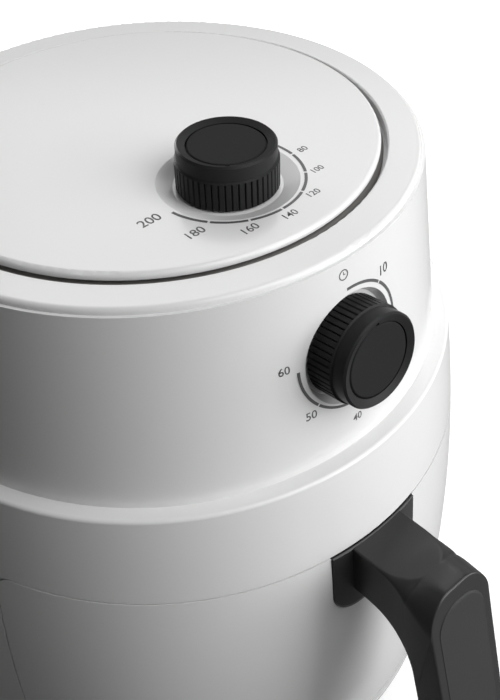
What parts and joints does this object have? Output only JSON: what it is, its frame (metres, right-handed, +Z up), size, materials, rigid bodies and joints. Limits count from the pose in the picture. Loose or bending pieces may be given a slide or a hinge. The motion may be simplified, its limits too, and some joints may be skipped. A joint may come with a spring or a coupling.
{
  "type": "air fryer",
  "caption": "Round worktop air fryer with a slide-out pan drawer, a bent handle, a temperature dial on top and a timer dial in front.",
  "frame": {"origin": "on the worktop, under the middle of the whole outline with the handle", "axes": "+Z up, -Y towards the drawer and handle, +X to the right of someone facing the drawer"},
  "size_m": [0.286, 0.3534, 0.3246],
  "materials": {
    "white_shell": "gloss",
    "black_plastic": "satin",
    "handle_panel": "satin",
    "knob_cap": "satin",
    "vent_plastic": "satin",
    "rubber_feet": "matte",
    "rubber_gland": "matte",
    "zinc": "bright",
    "zinc_sheet": "satin",
    "liner_steel": "satin",
    "heater_steel": "oxidised",
    "insulator": "matte",
    "wire_steel": "bright",
    "motor_steel": "satin",
    "control_plastic": "satin",
    "bell_steel": "bright",
    "shaft_steel": "ground",
    "fan_aluminium": "rolled",
    "fan_plastic": "satin",
    "pan_coating": "non-stick coating",
    "runner_plastic": "satin",
    "plunger_plastic": "satin"
  },
  "bodies": {
    "housing": {"base_cover": "white_shell", "feet": "rubber_feet", "base_screws": "zinc", "lower_housing": "white_shell", "rear_panel": "vent_plastic", "cord_gland": "rubber_gland", "upper_housing": "white_shell", "top_cover": "white_shell", "chamber_liner": "liner_steel", "drawer_runners": "runner_plastic", "air_dome": "liner_steel", "heater_element": "heater_steel", "heater_insulators": "insulator", "heater_guard": "wire_steel", "motor": "motor_steel", "motor_bracket": "zinc_sheet", "bracket_screws": "zinc", "thermostat": "control_plastic", "timer_clock": "control_plastic", "timer_bell": "bell_steel", "interlock_switch": "control_plastic"},
    "drawer": {"drawer_front": "white_shell", "handle": "black_plastic", "handle_insert": "handle_panel", "handle_screws": "zinc", "pan": "pan_coating", "pan_bracket": "zinc_sheet"},
    "crisper": {"crisper_plate": "pan_coating", "crisper_feet": "rubber_feet", "crisper_loop": "wire_steel"},
    "rotor": {"motor_shaft": "shaft_steel", "convection_fan": "fan_aluminium", "cooling_fan": "fan_plastic", "fan_nut": "zinc"},
    "temperature_dial": {"temperature_knob": "black_plastic", "temperature_knob_cap": "knob_cap", "temperature_spindle": "shaft_steel"},
    "timer_dial": {"timer_knob": "black_plastic", "timer_knob_cap": "knob_cap", "timer_spindle": "shaft_steel"},
    "interlock": {"interlock_plunger": "plunger_plastic"}
  },
  "joints": [
    {"name": "drawer_slide", "type": "slide", "parent": "housing", "child": "drawer", "axis": [0, -1, 0], "range_m": [0, 0.26]},
    {"name": "crisper_lift", "type": "slide", "parent": "drawer", "child": "crisper", "axis": [0, 0, 1], "range_m": [0, 0.1]},
    {"name": "rotor_spin", "type": "hinge", "parent": "housing", "child": "rotor", "pos_m": [0, 0.03331, 0.2], "axis": [0, 0, 1], "continuous": true},
    {"name": "temperature_turn", "type": "hinge", "parent": "housing", "child": "temperature_dial", "pos_m": [0, -0.01869, 0.308], "axis": [0, 0, 1], "range_deg": [-42, 122]},
    {"name": "timer_turn", "type": "hinge", "parent": "housing", "child": "timer_dial", "pos_m": [0, -0.08688, 0.265], "axis": [0, 0.9921, -0.1254], "range_deg": [0, 281]},
    {"name": "interlock_slide", "type": "slide", "parent": "housing", "child": "interlock", "axis": [0, -1, 0], "range_m": [0, 0.003]}
  ],
  "couplings": [
    {"joint": "interlock_slide", "follows": "drawer_slide", "ratio": 0.0115}
  ]
}
